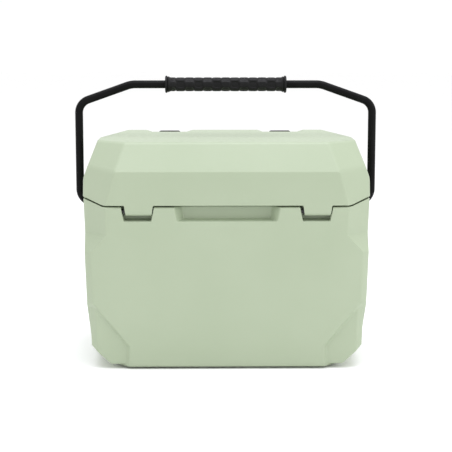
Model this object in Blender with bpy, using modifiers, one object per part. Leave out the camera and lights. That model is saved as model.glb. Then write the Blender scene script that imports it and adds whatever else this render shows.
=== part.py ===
"""Hard-sided insulated cooler chest with a hinged lid, a swinging bail handle and two rubber latches.

Frame: X across the width, -Y towards the hinge side, +Y towards the latch side, +Z up.
Origin: bottom centre, on the surface that the feet stand on.  Metres throughout.
"""
import math

import bmesh
import bpy
from mathutils import Matrix, Vector

MM = 0.001
GAP = 0.3 * MM                      # clearance between neighbouring pieces

# ---------------------------------------------------------------- chest body
BODY_HALF_X = 219.7 * MM            # at the highest point of the side walls
BODY_HALF_Y = 155.0 * MM            # at the parting line
BODY_TOP = 252.5 * MM               # rim height along the hinge and latch sides
BODY_BOTTOM = 3.0 * MM
DRAFT = 0.030                       # inward lean of the walls per unit of height
RIM_RISE_START = 189.0 * MM         # |x| where the rim starts to climb towards the sides
RIM_RISE_SLOPE = 0.30
RIM_CHAMFER = 3.0 * MM
WALL = 4.5 * MM
CORE_CORNER_EXTRA = 6.0 * MM        # the foam space keeps this much further from the large chamfers
CORE_SINK_EXTRA = 12.0 * MM         # and this much above the step of the sunk corners
CORE_KEEP_OUT = 4.0 * MM            # and this much from every recess cut from outside
BASE_THICK = 7.0 * MM

# Corners are described by d = (|x| - BODY_HALF_X) + (|y| - BODY_HALF_Y), which is 0 at a square corner.
CORNER_SMALL = 12.0 * MM            # chamfer that runs the full height
CORNER_LARGE = 36.0 * MM            # larger chamfer of the upper part
CORNER_LARGE_FOOT = 205.5 * MM      # height where the larger chamfer ends
CORNER_LEDGE_SLOPE = 1.2            # fall of the sloping ledge below it, per unit of d
SHALLOW_START_UPPER = 166.0 * MM
SHALLOW_START_LOWER = 170.0 * MM
SHALLOW_FOOT = 180.5 * MM           # height where the upper facet starts to fade out
SHALLOW_FOOT_SLOPE = 0.8            # slant of that fading edge
SHALLOW_ANGLE = math.radians(3.5)

# Sunk bottom corners
SINK_DEPTH = 4.5 * MM
SINK_TOP = 129.0 * MM               # height of the sloping step at a square corner
SINK_SLOPE = 1.21                   # its fall per unit of d
SINK_REACH = 77.0 * MM              # how far the sunk area runs along each face
BASE_BEVEL_OUT = (211.5 * MM, 38.0 * MM)    # (|x|, z) of the bevel along the bottom side edges
BASE_BEVEL_IN = (179.0 * MM, 8.0 * MM)

# ---------------------------------------------------------------- storage space
INNER_HALF_X = 176.0 * MM
INNER_HALF_Y = 117.0 * MM
INNER_FLOOR = 38.0 * MM
INNER_CORNER = 20.0 * MM
LINER_WALL = 3.0 * MM
LIP_WIDTH = 4.0 * MM
LIP_THICK = 3.0 * MM
CAVITY_TOP = 245.5 * MM             # underside of the solid rim of the outer shell

# ---------------------------------------------------------------- lid
PARTING_GAP = 2.0 * MM
LID_BOTTOM = BODY_TOP + PARTING_GAP
LID_TOP = 348.5 * MM
LID_HALF_X = 221.0 * MM
LID_HALF_Y = 155.0 * MM
LID_SHOULDER_Y = 305.5 * MM         # height of the crease on the hinge and latch sides
LID_SHOULDER_X = 291.5 * MM         # height of the crease on the left and right sides
PLATEAU_HALF_X = 199.5 * MM
PLATEAU_HALF_Y = 127.0 * MM
PLATEAU_CORNER_X = 155.0 * MM       # |x| where the long plateau edge of the hinge side ends
LID_CORNER_TOP_X = 170.0 * MM       # |x| of the corner facet at the shoulder
LID_CORNER_FOOT_X = 184.0 * MM      # and at the parting line
LID_CORNER_SIDE_Z = 310.5 * MM      # height where both corner facets meet the side
PLATEAU_FRONT_CORNER_X = 165.0 * MM         # the latch side has longer corner facets, which start here ...
PLATEAU_SIDE_Y = -30.0 * MM                 # ... and run along the top to this y on the side edge
LID_WALL = 4.5 * MM
LID_KEEP_OUT = 3.5 * MM             # wall between the latch channels and the lid's foam
LID_CAVITY_BOTTOM = 267.5 * MM
PLUG_HALF_X = 172.0 * MM
PLUG_HALF_Y = 113.0 * MM
PLUG_CORNER = 16.0 * MM
PAN_CORNER = 13.0 * MM
PLUG_BOTTOM = 243.5 * MM
FLANGE_HALF_X = 182.5 * MM
FLANGE_HALF_Y = 123.0 * MM
FLANGE_TOP = 259.5 * MM
FLANGE_BOTTOM = BODY_TOP + 1.5 * MM
GASKET_OUTER = (181.0 * MM, 121.5 * MM)
GASKET_WIDTH = 5.0 * MM
GASKET_CORNERS = (26.0 * MM, 21.0 * MM)     # outer and inner corner radius
GASKET_GROOVE_OPEN = 10             # the groove runs this many gaps below the seal, out of the panel
GASKET_TOP = 256.5 * MM

# ---------------------------------------------------------------- hinges
HINGE_Y = -148.5 * MM
HINGE_Z = 245.5 * MM
HINGE_X = 135.5 * MM                # centre of each notch
NOTCH_HALF_TOP = 25.0 * MM
NOTCH_HALF_FOOT = 20.5 * MM
NOTCH_FOOT = 230.5 * MM
NOTCH_DEPTH = 18.0 * MM
NOTCH_FLOOR_FALL = 0.12             # fall of the notch floor towards the outside
TAB_SHIFT = 1.75 * MM               # both tabs sit this far towards +X in their notches
TAB_HALF_TOP = 21.5 * MM
TAB_HALF_FOOT = 19.5 * MM
TAB_RADIUS = 6.5 * MM
TAB_ROOT = 6.0 * MM                 # how far a tab runs up into the lid's skirt
TAB_STEPS = 24                      # facets of its round end
HINGE_PIN_R = 3.0 * MM
HINGE_PIN_HALF = 27.0 * MM
BUSH_R = 4.4 * MM
BUSH_LENGTH = 10.0 * MM
BUSH_FLANGE_R = 5.5 * MM
BUSH_FLANGE = 1.0 * MM

# ---------------------------------------------------------------- finger recess of the hinge side
RECESS_HALF_TOP = 81.0 * MM
RECESS_HALF_FOOT = 77.0 * MM
RECESS_DEPTH = 17.0 * MM
RECESS_END_FLARE = 0.7              # how far the ends run inwards per unit of depth
RECESS_FLOOR_RISE = 2.5 * MM

# ---------------------------------------------------------------- bail handle
TUBE_R = 6.35 * MM
PIVOT_Z = 240.2 * MM
LEG_X = 235.5 * MM
LOWER_BEND_R = 22.0 * MM
UPPER_BEND_R = 22.0 * MM
SHOULDER_ANGLE = math.radians(19.5)
TOP_BAR_Z = 430.8 * MM
TOP_VERTEX_X = 151.6 * MM
TOP_BEND_R = 40.0 * MM
BAR_END_X = 195.5 * MM
GRIP_HALF = 97.0 * MM
GRIP_R = 11.1 * MM
GRIP_COLLAR_R = 13.75 * MM
GRIP_COLLAR = 5.0 * MM
GRIP_CHAMFER = 1.5 * MM
SOCKET_R = 12.0 * MM
SOCKET_FLANGE_R = 15.5 * MM
SOCKET_FLANGE = 1.6 * MM
SOCKET_INNER_X = 193.0 * MM
SOCKET_BORE_X = 201.0 * MM          # the narrow bore runs from here ...
SOCKET_MOUTH_X = 213.0 * MM         # ... to here, and then opens for the bend of the tube
SOCKET_MOUTH_R = 9.5 * MM
SOCKET_MOUTH_STEP = 1.0 * MM
BORE_PLAY = 0.45 * MM               # room for the tube to turn in the socket
RETAINER_R = 9.0 * MM
RETAINER_THICK = 3.0 * MM
RETAINER_OFFSET = 1.5 * MM          # from the end of the tube

# ---------------------------------------------------------------- latches
LATCH_X = 94.0 * MM
LATCH_PIN_Y = 149.0 * MM
LATCH_PIN_Z = 217.5 * MM
LATCH_TIP_Y = 134.0 * MM
LATCH_TIP_Z = 346.5 * MM
LATCH_PIN_R = 2.5 * MM
LATCH_EYE_R = 5.5 * MM
LATCH_THICK = 6.0 * MM
STRAP_HALF = 15.0 * MM
HEAD_HALF = 22.0 * MM
HEAD_LENGTH = 24.0 * MM
HEAD_TIP_CHAMFER = 6.0 * MM
HEAD_ROOT_CHAMFER = 5.0 * MM
EYE_EXTRA = 4.0 * MM                # how far the eye sticks out beyond the strap on each side
LATCH_PIN_SINK = 3.5 * MM           # how far the pin's ends sit in the body
LATCH_BAY_HALF = 27.0 * MM
LATCH_BAY_FOOT = 195.5 * MM
LATCH_BAY_FLOOR_Y = 141.0 * MM
LATCH_BAY_RAMP = 12.0 * MM          # height of the sloping foot of the bay
LATCH_BAY_MARGIN = 8.0 * MM         # wall beside the bay
LATCH_SIDE_FLARE = 0.15             # opening of the bay and the channel per unit of depth
CHANNEL_FLOOR_FOOT = 139.0 * MM     # y of the lid's channel floor at the parting line
CHANNEL_FLOOR_TOP = 128.5 * MM      # and at the plateau
CHANNEL_HALF_TOP = 38.5 * MM
CHANNEL_DIP = 4.2 * MM
CHANNEL_DIP_Y = 86.0 * MM
CHANNEL_DIP_RUN = 2.5               # length of the dip's back slope per unit of depth

# ---------------------------------------------------------------- feet
FOOT_X = 100.0 * MM
FOOT_Y = 95.0 * MM
FOOT_R = 11.0 * MM
FOOT_TOP = 5.0 * MM
SCREW_HEAD_R = 3.6 * MM
SCREW_R = 2.0 * MM
SCREW_HEAD_Z = 1.0 * MM
SCREW_SHOULDER_Z = 3.0 * MM
SCREW_TIP_Z = 8.0 * MM
FOOT_CHAMFER = 0.8 * MM

# ---------------------------------------------------------------- working sizes of the cutters
BIG = 1.0                           # larger than any part of the chest
SPARE = 20.0 * MM                   # how far a cutter runs past the face that it opens
OVERLAP = 5.0 * MM                  # how far joined or cut pieces run into each other
LOCAL_HALF = 60.0 * MM              # half-width of the blank that a local cutter is sliced from
OUTSIDE_X = 240.0 * MM              # |x| just outside the body's sides
CHANNEL_BLANK_Y = 60.0 * MM         # where the blanks of the latch channels start
QUADRANT_START = 50.0 * MM          # |x| and |y| where the blanks of the corner cutters start
UPPER_BLANK_FOOT = 80.0 * MM        # lowest z of the blanks that cut the upper corners
LOWER_BLANK_FOOT = -40.0 * MM       # and of those that run through the bottom
SPARE = 20.0 * MM                   # how far a cutter runs past what it cuts
SIDES = (("left", -1), ("right", 1))
FINE = 36                           # facets round a turned piece
COARSE = 32

GREEN = (0.48, 0.56, 0.41, 1.0)
LINER_WHITE = (0.72, 0.74, 0.70, 1.0)
FOAM = (0.80, 0.74, 0.50, 1.0)
BLACK_METAL = (0.012, 0.012, 0.013, 1.0)
BLACK_RUBBER = (0.018, 0.018, 0.018, 1.0)
STEEL = (0.55, 0.56, 0.57, 1.0)
NYLON = (0.70, 0.72, 0.66, 1.0)


# ================================================================ scene helpers
def clear_scene():
    for old in list(bpy.data.objects):
        bpy.data.objects.remove(old, do_unlink=True)


def new_collection(name):
    collection = bpy.data.collections.new(name)
    bpy.context.scene.collection.children.link(collection)
    return collection


def material(name, colour, roughness, metallic=0.0):
    mat = bpy.data.materials.new(name)
    mat.use_nodes = True
    shader = mat.node_tree.nodes["Principled BSDF"]
    shader.inputs["Base Color"].default_value = colour
    shader.inputs["Roughness"].default_value = roughness
    shader.inputs["Metallic"].default_value = metallic
    mat.diffuse_color = colour
    return mat


def to_object(name, bm, collection=None, mat=None):
    mesh = bpy.data.meshes.new(name)
    bm.to_mesh(mesh)
    bm.free()
    obj = bpy.data.objects.new(name, mesh)
    (collection or CUTTERS).objects.link(obj)
    if mat:
        mesh.materials.append(mat)
    if collection is None:
        obj.hide_render = True
        obj.display_type = 'WIRE'
    return obj


def box_mesh(low, high):
    bm = bmesh.new()
    bmesh.ops.create_cube(bm, size=1.0)
    size = Vector(high) - Vector(low)
    bmesh.ops.scale(bm, vec=size, verts=bm.verts)
    bmesh.ops.translate(bm, vec=(Vector(high) + Vector(low)) / 2, verts=bm.verts)
    return bm


def slice_off(bm, point, normal):
    """Cut away what lies on the normal's side of a plane and close the cut."""
    geometry = bm.verts[:] + bm.edges[:] + bm.faces[:]
    cut = bmesh.ops.bisect_plane(bm, geom=geometry, dist=1e-7, plane_co=point, plane_no=normal,
                                 clear_outer=True)["geom_cut"]
    edges = [item for item in cut if isinstance(item, bmesh.types.BMEdge)]
    if edges:
        bmesh.ops.holes_fill(bm, edges=edges)
    bmesh.ops.recalc_face_normals(bm, faces=bm.faces)


def faceted(name, low, high, planes, collection=None, mat=None):
    """A box from low to high with each plane's outer side sliced off."""
    bm = box_mesh(low, high)
    for point, normal in planes:
        slice_off(bm, Vector(point), Vector(normal).normalized())
    return to_object(name, bm, collection, mat)


def mirrored(planes, over_x=True, over_y=True):
    """The planes and their mirror images over X = 0 and Y = 0."""
    result = []
    for point, normal in planes:
        for sx in (1, -1) if over_x else (1,):
            for sy in (1, -1) if over_y else (1,):
                result.append(((point[0] * sx, point[1] * sy, point[2]),
                               (normal[0] * sx, normal[1] * sy, normal[2])))
    return result


def rounded_box(name, half_x, half_y, low_z, high_z, radius, collection=None, mat=None):
    """A box centred on the Z axis with its four upright edges rounded."""
    bm = box_mesh((-half_x, -half_y, low_z), (half_x, half_y, high_z))
    upright = [e for e in bm.edges if abs(e.verts[0].co.z - e.verts[1].co.z) > (high_z - low_z) / 2]
    bmesh.ops.bevel(bm, geom=upright, offset=radius, segments=4, profile=0.5, affect='EDGES')
    return to_object(name, bm, collection, mat)


def boolean(target, tool, operation='DIFFERENCE'):
    modifier = target.modifiers.new(tool.name, 'BOOLEAN')
    modifier.operation = operation
    modifier.solver = 'EXACT'
    modifier.object = tool


def turned(name, profile, location, axis='Z', facets=FINE, collection=None, mat=None, ring=False):
    """A turned piece: (radius, height) points down the outer side, spun round its own axis."""
    bm = bmesh.new()
    verts = [bm.verts.new((radius, 0.0, height)) for radius, height in profile]
    for first, second in zip(verts, verts[1:]):
        bm.edges.new((first, second))
    if ring:
        bm.edges.new((verts[-1], verts[0]))
    obj = to_object(name, bm, collection, mat)
    screw = obj.modifiers.new("turn", 'SCREW')
    screw.angle = 2 * math.pi
    screw.steps = facets
    screw.render_steps = facets
    screw.use_merge_vertices = True
    screw.merge_threshold = 1e-5
    screw.use_normal_calculate = False
    obj.location = location
    if axis == 'X':
        obj.rotation_euler = (0.0, math.pi / 2, 0.0)
    return obj


def hang_on(objects, pivot):
    """Parent objects to a pivot empty without moving them."""
    for obj in objects:
        obj.parent = pivot
        obj.matrix_parent_inverse = pivot.matrix_basis.inverted()


def pivot_empty(name, location):
    empty = bpy.data.objects.new(name, None)
    empty.location = location
    empty.empty_display_size = SPARE
    CHEST.objects.link(empty)
    return empty


def cylinder_cutter(name, radius, start, end, facets=FINE):
    """A plain cylinder from start to end."""
    start = Vector(start)
    end = Vector(end)
    bm = bmesh.new()
    bmesh.ops.create_cone(bm, cap_ends=True, segments=facets, radius1=radius, radius2=radius,
                          depth=(end - start).length)
    turn = Vector((0, 0, 1)).rotation_difference(end - start).to_matrix().to_4x4()
    bmesh.ops.transform(bm, matrix=Matrix.Translation((start + end) / 2) @ turn, verts=bm.verts)
    return to_object(name, bm)


# ================================================================ chest body
def body_planes(inset=0.0):
    """Drafted walls and the bevel along the bottom side edges."""
    top = BODY_TOP
    bevel_out = Vector((BASE_BEVEL_OUT[0], 0, BASE_BEVEL_OUT[1]))
    bevel_in = Vector((BASE_BEVEL_IN[0], 0, BASE_BEVEL_IN[1]))
    run = bevel_out - bevel_in
    bevel_normal = Vector((run.z, 0, -run.x)).normalized()
    planes = mirrored([((BODY_HALF_X - inset, 0, top), (1, 0, -DRAFT))], over_y=False)
    planes += mirrored([((0, BODY_HALF_Y - inset, top), (0, 1, -DRAFT))], over_x=False)
    planes += mirrored([(tuple(bevel_out - bevel_normal * inset), tuple(bevel_normal))], over_y=False)
    return planes


def corner_plane(back, inset=0.0):
    """An upright 45 degree plane across each corner, `back` from the square corner."""
    lean = 2 * DRAFT
    return mirrored([((BODY_HALF_X - back - inset * math.sqrt(2), BODY_HALF_Y, BODY_TOP), (1, 1, -lean))])


def sink_plane(lift=0.0):
    """The sloping top of the sunk bottom corners; the normal points into the corner."""
    return mirrored([((BODY_HALF_X, BODY_HALF_Y, SINK_TOP + lift), (SINK_SLOPE, SINK_SLOPE, -1))])


def make_body_shell():
    high = BODY_TOP + SPARE
    shell = faceted("body_shell", (-BIG, -BIG, BODY_BOTTOM), (BIG, BIG, high),
                    body_planes() + corner_plane(CORNER_SMALL), CHEST, MAT_GREEN)

    rim = faceted("cut_rim", (-BIG, -BIG, BODY_TOP), (BIG, BIG, BIG),
                  mirrored([((RIM_RISE_START, 0, BODY_TOP), (RIM_RISE_SLOPE, 0, -1))], over_y=False))
    boolean(shell, rim)

    for sx in (-1, 1):
        for sy in (-1, 1):
            name = f"{'r' if sx > 0 else 'l'}{'f' if sy > 0 else 'b'}"
            boolean(shell, upper_corner_cutter("cut_corner_" + name, sx, sy))
            boolean(shell, sunk_corner_cutter("cut_sink_" + name, sx, sy))
            for upper in (True, False):
                level = "upper" if upper else "lower"
                boolean(shell, shallow_facet_cutter(f"cut_shallow_{level}_{name}", sx, sy, upper))

    for sy in (-1, 1):
        boolean(shell, rim_chamfer_cutter(f"cut_rim_chamfer_{sy + 1}", sy))
    pin_room = LATCH_PIN_SINK + GAP
    for label, sx in SIDES:
        boolean(shell, notch_cutter("cut_notch_" + label, sx))
        boolean(shell, cylinder_cutter("cut_hinge_pin_" + label, HINGE_PIN_R + GAP,
                                       (sx * HINGE_X - HINGE_PIN_HALF - GAP, HINGE_Y, HINGE_Z),
                                       (sx * HINGE_X + HINGE_PIN_HALF + GAP, HINGE_Y, HINGE_Z), COARSE))
        boolean(shell, latch_bay_cutter("cut_latch_bay_" + label, sx))
        boolean(shell, cylinder_cutter("cut_latch_pin_" + label, LATCH_PIN_R + GAP,
                                       (sx * LATCH_X - LATCH_BAY_HALF - pin_room, LATCH_PIN_Y, LATCH_PIN_Z),
                                       (sx * LATCH_X + LATCH_BAY_HALF + pin_room, LATCH_PIN_Y, LATCH_PIN_Z),
                                       COARSE))
        boolean(shell, cylinder_cutter("cut_socket_" + label, SOCKET_R + GAP,
                                       (sx * (SOCKET_INNER_X - GAP), 0, PIVOT_Z),
                                       (sx * OUTSIDE_X, 0, PIVOT_Z)))
        boolean(shell, cylinder_cutter("cut_socket_flange_" + label, SOCKET_FLANGE_R + GAP,
                                       (sx * (socket_face_x() - GAP), 0, PIVOT_Z),
                                       (sx * OUTSIDE_X, 0, PIVOT_Z)))
    boolean(shell, finger_recess_cutter())

    cavity = body_core("cut_cavity", WALL, BODY_BOTTOM + BASE_THICK, CAVITY_TOP, 0.0)
    boolean(shell, cavity)
    half_x = INNER_HALF_X + LINER_WALL + GAP
    half_y = INNER_HALF_Y + LINER_WALL + GAP
    radius = INNER_CORNER + LINER_WALL
    mouth = rounded_box("cut_mouth", half_x, half_y, CAVITY_TOP - OVERLAP, BIG, radius)
    ledge = rounded_box("cut_ledge", half_x + LIP_WIDTH, half_y + LIP_WIDTH,
                        BODY_TOP - LIP_THICK - GAP, BIG, radius + LIP_WIDTH)
    boolean(shell, mouth)
    boolean(shell, ledge)
    for number, (x, y) in enumerate(foot_places()):
        boolean(shell, cylinder_cutter(f"cut_foot_{number}", FOOT_R + GAP,
                                       (x, y, -SPARE), (x, y, FOOT_TOP + GAP)))
        boolean(shell, cylinder_cutter(f"cut_foot_screw_{number}", SCREW_R + GAP, (x, y, 0),
                                       (x, y, SCREW_TIP_Z + GAP), COARSE))
    return shell


def upper_corner_cutter(name, sx, sy):
    """What the larger chamfer takes off above its sloping ledge."""
    foot = CORNER_LARGE_FOOT
    planes = [((sx * (BODY_HALF_X - CORNER_LARGE), sy * BODY_HALF_Y, BODY_TOP), (-sx, -sy, 2 * DRAFT)),
              ((sx * (BODY_HALF_X - CORNER_LARGE), sy * BODY_HALF_Y, foot),
               (-sx * CORNER_LEDGE_SLOPE, -sy * CORNER_LEDGE_SLOPE, -1))]
    return faceted(name, *quadrant(sx, sy, UPPER_BLANK_FOOT), planes)


def shallow_facet_cutter(name, sx, sy, upper):
    """A thin wedge that turns the ends of the long faces by a few degrees."""
    start = SHALLOW_START_UPPER if upper else SHALLOW_START_LOWER
    turn = math.tan(SHALLOW_ANGLE)
    planes = [((sx * start, sy * BODY_HALF_Y, BODY_TOP), (-sx * turn, -sy, DRAFT))]
    if upper:
        face_y = BODY_HALF_Y - (BODY_TOP - SHALLOW_FOOT) * DRAFT
        planes.append(((sx * start, sy * face_y, SHALLOW_FOOT),
                       (-sx * turn * SHALLOW_FOOT_SLOPE, -sy, DRAFT - turn)))
    return faceted(name, *quadrant(sx, sy, LOWER_BLANK_FOOT), planes)


def quadrant(sx, sy, low_z):
    """Opposite corners of a box that fills one quadrant above low_z."""
    xs = sorted((QUADRANT_START * sx, BIG * sx))
    ys = sorted((QUADRANT_START * sy, BIG * sy))
    return (xs[0], ys[0], low_z), (xs[1], ys[1], BIG)


def sunk_corner_cutter(name, sx, sy):
    """The sunk bottom corner: everything under its sloping step that lies outside the inset body."""
    low, high = quadrant(sx, sy, LOWER_BLANK_FOOT)
    bm = box_mesh(low, high)
    slice_off(bm, Vector((sx * BODY_HALF_X, sy * BODY_HALF_Y, SINK_TOP)),
              Vector((-sx * SINK_SLOPE, -sy * SINK_SLOPE, 1)).normalized())
    slice_off(bm, Vector((sx * (BODY_HALF_X - SINK_REACH), sy * BODY_HALF_Y, 0)),
              Vector((-sx, -sy, 0)).normalized())
    cutter = to_object(name, bm)
    boolean(cutter, sunk_core())
    return cutter


def sunk_core():
    """The inset body that the sunk corners are cut down to, made once."""
    if "core_sunk" in bpy.data.objects:
        return bpy.data.objects["core_sunk"]
    planes = body_planes(SINK_DEPTH)[:4] + body_planes()[4:]
    planes += corner_plane(CORNER_SMALL, SINK_DEPTH)
    return faceted("core_sunk", (-BIG, -BIG, BODY_BOTTOM + SINK_DEPTH), (BIG, BIG, 2 * BIG), planes)


def rim_chamfer_cutter(name, sy):
    """Breaks the long upper edge of the body so that the lid can tip over it."""
    edge_y = BODY_HALF_Y - RIM_CHAMFER
    return faceted(name, (-RIM_RISE_START, -BIG, BODY_TOP - SPARE), (RIM_RISE_START, BIG, BODY_TOP + SPARE),
                   [((0, sy * edge_y, BODY_TOP), (0, -sy, -1))])


def body_core(name, inset, low_z, high_z, shrink):
    """The space inside the outer shell, clear of the recesses cut from outside."""
    planes = body_planes(inset + shrink) + corner_plane(CORNER_LARGE + CORE_CORNER_EXTRA, shrink)
    planes += sink_plane(CORE_SINK_EXTRA + 2 * shrink)
    core = faceted(name, (-BIG, -BIG, low_z + shrink), (BIG, BIG, high_z - shrink), planes)
    keep_out = CORE_KEEP_OUT + shrink
    back_y = BODY_HALF_Y - NOTCH_DEPTH - keep_out
    slabs = [((-BIG, -BIG, NOTCH_FOOT - keep_out), (BIG, -back_y, BIG))]
    for _, sx in SIDES:
        bay_half = LATCH_BAY_HALF + LATCH_BAY_MARGIN + shrink
        slabs.append(((sx * LATCH_X - bay_half, LATCH_BAY_FLOOR_Y - keep_out, LATCH_BAY_FOOT - keep_out),
                      (sx * LATCH_X + bay_half, BIG, BIG)))
        side = sorted((sx * (SOCKET_INNER_X - keep_out), sx * BIG))
        reach = SOCKET_FLANGE_R + keep_out
        slabs.append(((side[0], -reach, PIVOT_Z - reach), (side[1], reach, BIG)))
    for number, (low, high) in enumerate(slabs):
        boolean(core, to_object(f"{name}_keep_{number}", box_mesh(low, high)))
    return core


def notch_cutter(name, sx):
    """The tapered notch that a hinge tab hangs in."""
    x = sx * HINGE_X
    slope = (NOTCH_HALF_TOP - NOTCH_HALF_FOOT) / (BODY_TOP - NOTCH_FOOT)
    planes = [((x + NOTCH_HALF_TOP, 0, BODY_TOP), (1, 0, -slope)),
              ((x - NOTCH_HALF_TOP, 0, BODY_TOP), (-1, 0, -slope)),
              ((0, -BODY_HALF_Y, NOTCH_FOOT), (0, NOTCH_FLOOR_FALL, -1))]
    return faceted(name, (x - LOCAL_HALF, -BIG, NOTCH_FOOT - OVERLAP),
                   (x + LOCAL_HALF, -BODY_HALF_Y + NOTCH_DEPTH, BODY_TOP + SPARE), planes)


def finger_recess_cutter():
    """The long shallow recess between the hinges."""
    slope = (RECESS_HALF_TOP - RECESS_HALF_FOOT) / (BODY_TOP - NOTCH_FOOT)
    planes = mirrored([((RECESS_HALF_TOP, -BODY_HALF_Y, BODY_TOP), (1, RECESS_END_FLARE, -slope))],
                      over_y=False)
    planes.append(((0, -BODY_HALF_Y, NOTCH_FOOT), (0, RECESS_FLOOR_RISE / RECESS_DEPTH, -1)))
    return faceted("cut_finger_recess", (-BIG, -BIG, NOTCH_FOOT - OVERLAP),
                   (BIG, -BODY_HALF_Y + RECESS_DEPTH, BODY_TOP + SPARE), planes)


def latch_bay_cutter(name, sx):
    """The bay in the latch side that a latch swings in."""
    x = sx * LATCH_X
    planes = [((x + LATCH_BAY_HALF, LATCH_BAY_FLOOR_Y, 0), (1, -LATCH_SIDE_FLARE, 0)),
              ((x - LATCH_BAY_HALF, LATCH_BAY_FLOOR_Y, 0), (-1, -LATCH_SIDE_FLARE, 0)),
              ((0, LATCH_BAY_FLOOR_Y, LATCH_BAY_FOOT + LATCH_BAY_RAMP), (0, -1, -1))]
    return faceted(name, (x - LOCAL_HALF, LATCH_BAY_FLOOR_Y, LATCH_BAY_FOOT - SPARE),
                   (x + LOCAL_HALF, BIG, BODY_TOP + SPARE), planes)


def make_body_liner():
    radius = INNER_CORNER + LINER_WALL
    liner = rounded_box("body_liner", INNER_HALF_X + LINER_WALL, INNER_HALF_Y + LINER_WALL,
                        INNER_FLOOR - LINER_WALL, BODY_TOP, radius, CHEST, MAT_LINER)
    lip = rounded_box("add_liner_lip", INNER_HALF_X + LINER_WALL + LIP_WIDTH,
                      INNER_HALF_Y + LINER_WALL + LIP_WIDTH, BODY_TOP - LIP_THICK, BODY_TOP,
                      radius + LIP_WIDTH)
    space = rounded_box("cut_storage", INNER_HALF_X, INNER_HALF_Y, INNER_FLOOR, BIG, INNER_CORNER)
    boolean(liner, lip, 'UNION')
    boolean(liner, space)
    return liner


def make_body_foam():
    core = body_core("body_foam_core", WALL, BODY_BOTTOM + BASE_THICK, CAVITY_TOP, GAP)
    pocket = rounded_box("cut_foam_pocket", INNER_HALF_X + LINER_WALL + GAP,
                         INNER_HALF_Y + LINER_WALL + GAP,
                         INNER_FLOOR - LINER_WALL - GAP, BIG, INNER_CORNER + LINER_WALL)
    core.name = "body_foam"
    CUTTERS.objects.unlink(core)
    CHEST.objects.link(core)
    core.hide_render = False
    core.display_type = 'TEXTURED'
    core.data.materials.append(MAT_FOAM)
    boolean(core, pocket)
    return core


# ================================================================ lid
def facet_through(first, second, third):
    """Upward unit normal of the plane through three points."""
    normal = (second - first).cross(third - first).normalized()
    return -normal if normal.z < 0 else normal


def lid_planes(inset=0.0):
    """All the outer facets of the lid, moved inwards by inset."""
    back_slope = Vector((0, LID_TOP - LID_SHOULDER_Y, LID_HALF_Y - PLATEAU_HALF_Y)).normalized()
    side_slope = Vector((LID_TOP - LID_SHOULDER_X, 0, LID_HALF_X - PLATEAU_HALF_X)).normalized()
    corner_lean = (LID_CORNER_FOOT_X - LID_CORNER_TOP_X) / (LID_SHOULDER_Y - BODY_TOP)
    corner_band = Vector((1, 1, corner_lean)).normalized()
    turn = math.tan(SHALLOW_ANGLE)
    retreat = (LID_CORNER_TOP_X - SHALLOW_START_UPPER) * turn
    back_lean = (LID_HALF_Y - PLATEAU_HALF_Y) / (LID_TOP - LID_SHOULDER_Y)
    shoulder_corner = Vector((LID_CORNER_TOP_X, LID_HALF_Y - retreat, LID_SHOULDER_Y + retreat / back_lean))
    back_corner = Vector((PLATEAU_CORNER_X, PLATEAU_HALF_Y, LID_TOP))
    side_lean = (LID_HALF_X - PLATEAU_HALF_X) / (LID_TOP - LID_SHOULDER_X)
    side_x = PLATEAU_HALF_X + (LID_TOP - LID_CORNER_SIDE_Z) * side_lean
    side_y = (shoulder_corner.x + shoulder_corner.y - side_x
              - corner_lean * (LID_CORNER_SIDE_Z - shoulder_corner.z))
    corner_side = Vector((side_x, side_y, LID_CORNER_SIDE_Z))
    back_facet = facet_through(back_corner, shoulder_corner, corner_side)
    back_facet.y *= -1
    front_corner = Vector((PLATEAU_FRONT_CORNER_X, PLATEAU_HALF_Y, LID_TOP))
    side_corner = Vector((PLATEAU_HALF_X, PLATEAU_SIDE_Y, LID_TOP))
    front_facet = facet_through(front_corner, side_corner, corner_side)
    facets = [
        ((0, LID_HALF_Y, 0), (0, 1, 0), False, True),
        ((LID_HALF_X, 0, 0), (1, 0, 0), True, False),
        ((0, LID_HALF_Y, LID_SHOULDER_Y), back_slope, False, True),
        ((LID_HALF_X, 0, LID_SHOULDER_X), side_slope, True, False),
        (shoulder_corner, corner_band, True, True),
        ((PLATEAU_CORNER_X, -PLATEAU_HALF_Y, LID_TOP), back_facet, True, False),
        (front_corner, front_facet, True, False),
        ((SHALLOW_START_UPPER, LID_HALF_Y, 0), (turn, 1, 0), True, True),
    ]
    planes = []
    for point, normal, over_x, over_y in facets:
        normal = Vector(normal).normalized()
        moved = Vector(point) - normal * inset
        planes += mirrored([(tuple(moved), tuple(normal))], over_x, over_y)
    return planes


def lid_underside_planes(height):
    return mirrored([((RIM_RISE_START, 0, height), (RIM_RISE_SLOPE, 0, -1))], over_y=False)


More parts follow.
